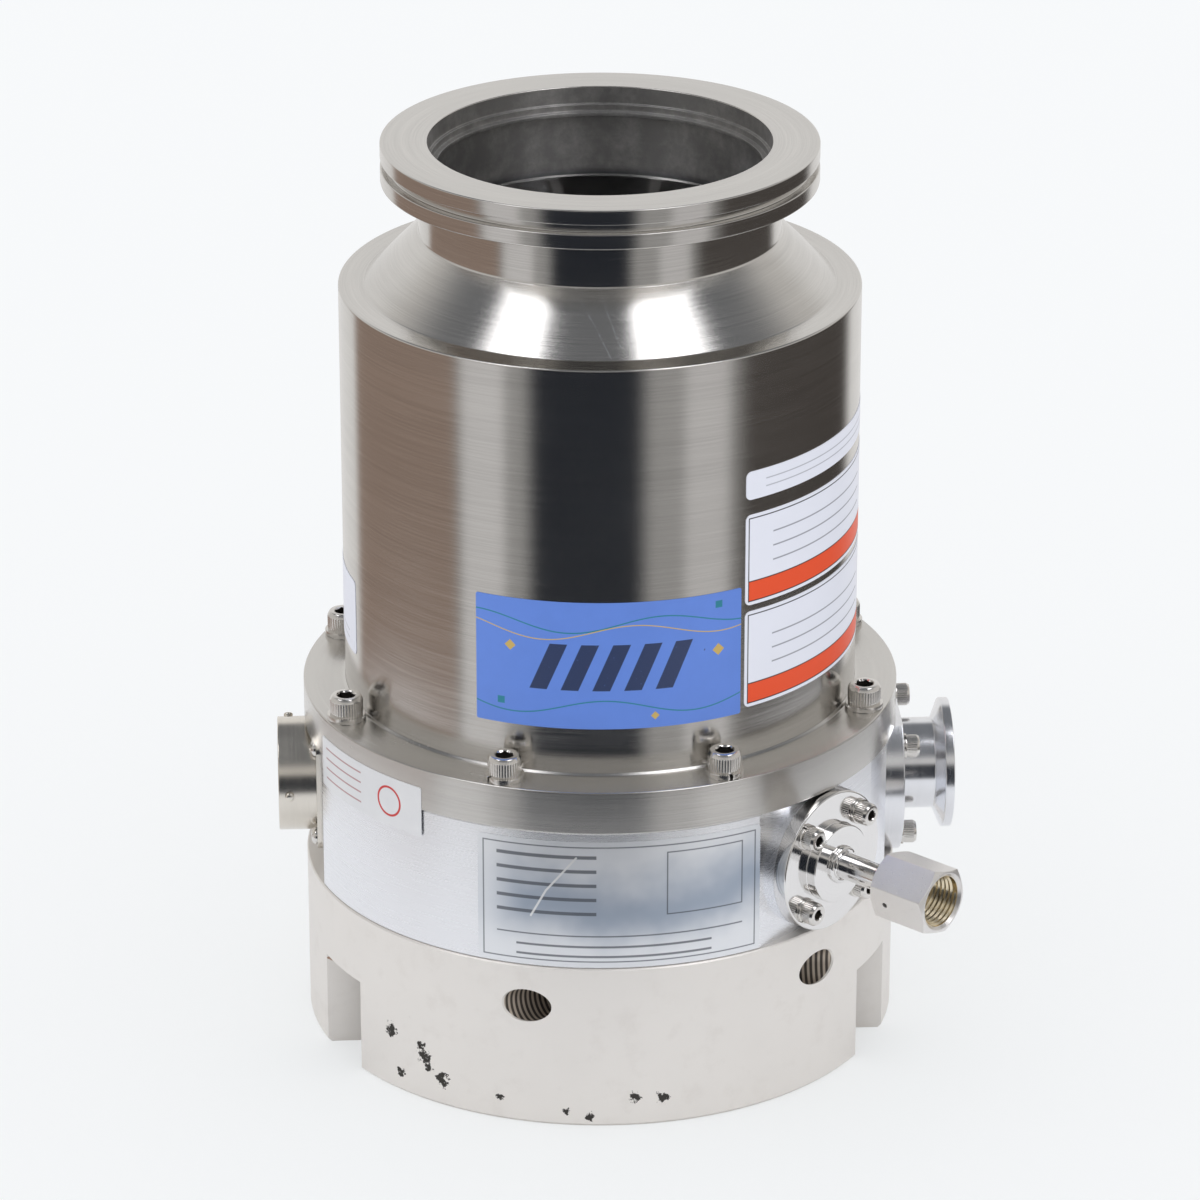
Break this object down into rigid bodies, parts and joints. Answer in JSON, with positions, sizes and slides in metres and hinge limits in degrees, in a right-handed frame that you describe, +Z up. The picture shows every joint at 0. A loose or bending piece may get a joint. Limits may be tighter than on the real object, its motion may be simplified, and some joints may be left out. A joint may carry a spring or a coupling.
{
  "type": "turbomolecular pump",
  "caption": "Magnetically levitated turbomolecular pump with a claw-clamp inlet flange, small-flange exhaust port, purge port with face-seal nut, bayonet connector and slotted round base.",
  "frame": {"origin": "on the rotor axis, in the plane of the base's underside", "axes": "+Z up along the rotor axis and out of the inlet, -Y the front, +X out of the exhaust port"},
  "size_m": [0.2072, 0.1934, 0.2804],
  "materials": {
    "turned_stainless": "turned",
    "stainless_fastener": "bright",
    "polished_aluminium": "polished",
    "nickel_plated_base": "satin nickel",
    "bright_stainless": "bright",
    "satin_nickel_nut": "satin",
    "connector_steel": "satin",
    "black_insert": "moulded",
    "gold_contact": "gold plated",
    "machined_aluminium": "machined",
    "bearing_steel": "ground",
    "magnet_black": "coated",
    "core_iron": "laminated",
    "copper_winding": "enamelled copper",
    "potting_resin": "potted",
    "seal_rubber": "moulded"
  },
  "bodies": {
    "housing": {"casing_flange": "turned_stainless", "casing_barrel": "turned_stainless", "casing_head": "turned_stainless", "casing_bolts": "stainless_fastener", "casing_spring_washers": "stainless_fastener", "pump_body": "polished_aluminium", "base_ring": "nickel_plated_base", "base_bolts": "stainless_fastener", "bottom_cover": "nickel_plated_base", "bottom_cover_screws": "stainless_fastener", "exhaust_port": "polished_aluminium", "exhaust_port_screws": "stainless_fastener", "purge_flange": "bright_stainless", "purge_flange_screws": "stainless_fastener", "purge_spring_washers": "stainless_fastener", "connector_shell": "connector_steel", "connector_insert": "black_insert", "connector_pins": "gold_contact", "connector_screws": "stainless_fastener", "stator_disc_1": "machined_aluminium", "stator_disc_2": "machined_aluminium", "stator_disc_3": "machined_aluminium", "stator_disc_4": "machined_aluminium", "stator_disc_5": "machined_aluminium", "stator_spacer_1": "machined_aluminium", "stator_spacer_2": "machined_aluminium", "stator_spacer_3": "machined_aluminium", "stator_spacer_4": "machined_aluminium", "stator_spacer_5": "machined_aluminium", "stator_spacer_6": "machined_aluminium", "thread_stator": "machined_aluminium", "stator_column": "machined_aluminium", "column_bolts": "stainless_fastener", "position_sensor_ring": "potting_resin", "axial_magnet_lower": "core_iron", "axial_magnet_upper": "core_iron", "axial_magnet_coils": "copper_winding", "motor_windings": "copper_winding", "motor_stator_core": "core_iron", "lower_radial_magnet_core": "core_iron", "lower_radial_magnet_coils": "copper_winding", "upper_radial_magnet_core": "core_iron", "upper_radial_magnet_coils": "copper_winding", "upper_touchdown_outer_ring": "bearing_steel", "lower_touchdown_outer_ring": "bearing_steel", "casing_o_ring": "seal_rubber", "bottom_cover_o_ring": "seal_rubber", "exhaust_o_ring": "seal_rubber", "purge_o_ring": "seal_rubber"},
    "rotor_assembly": {"rotor": "machined_aluminium", "rotor_shaft": "bearing_steel", "rotor_bolts": "stainless_fastener", "thrust_disc": "bearing_steel", "thrust_disc_nut": "bearing_steel", "motor_magnet": "magnet_black"},
    "purge_nut": {"purge_nut": "satin_nickel_nut"},
    "upper_inner_race": {"upper_touchdown_inner_ring": "bearing_steel"},
    "upper_ball_set": {"upper_touchdown_balls": "bearing_steel"},
    "lower_inner_race": {"lower_touchdown_inner_ring": "bearing_steel"},
    "lower_ball_set": {"lower_touchdown_balls": "bearing_steel"}
  },
  "joints": [
    {"name": "rotor_spin", "type": "hinge", "parent": "housing", "child": "rotor_assembly", "pos_m": [0, 0, 0.15], "axis": [0, 0, 1], "continuous": true},
    {"name": "purge_nut_spin", "type": "hinge", "parent": "housing", "child": "purge_nut", "pos_m": [0.08839, -0.08839, 0.0746], "axis": [0.7071, -0.7071, 0], "continuous": true},
    {"name": "upper_race_spin", "type": "hinge", "parent": "housing", "child": "upper_inner_race", "pos_m": [0, 0, 0.2], "axis": [0, 0, 1], "continuous": true},
    {"name": "upper_ball_orbit", "type": "hinge", "parent": "housing", "child": "upper_ball_set", "pos_m": [0, 0, 0.2], "axis": [0, 0, 1], "continuous": true},
    {"name": "lower_race_spin", "type": "hinge", "parent": "housing", "child": "lower_inner_race", "pos_m": [0, 0, 0.0145], "axis": [0, 0, 1], "continuous": true},
    {"name": "lower_ball_orbit", "type": "hinge", "parent": "housing", "child": "lower_ball_set", "pos_m": [0, 0, 0.0145], "axis": [0, 0, 1], "continuous": true}
  ],
  "couplings": [
    {"joint": "upper_ball_orbit", "follows": "upper_race_spin", "ratio": 0.4327},
    {"joint": "lower_ball_orbit", "follows": "lower_race_spin", "ratio": 0.4223}
  ]
}
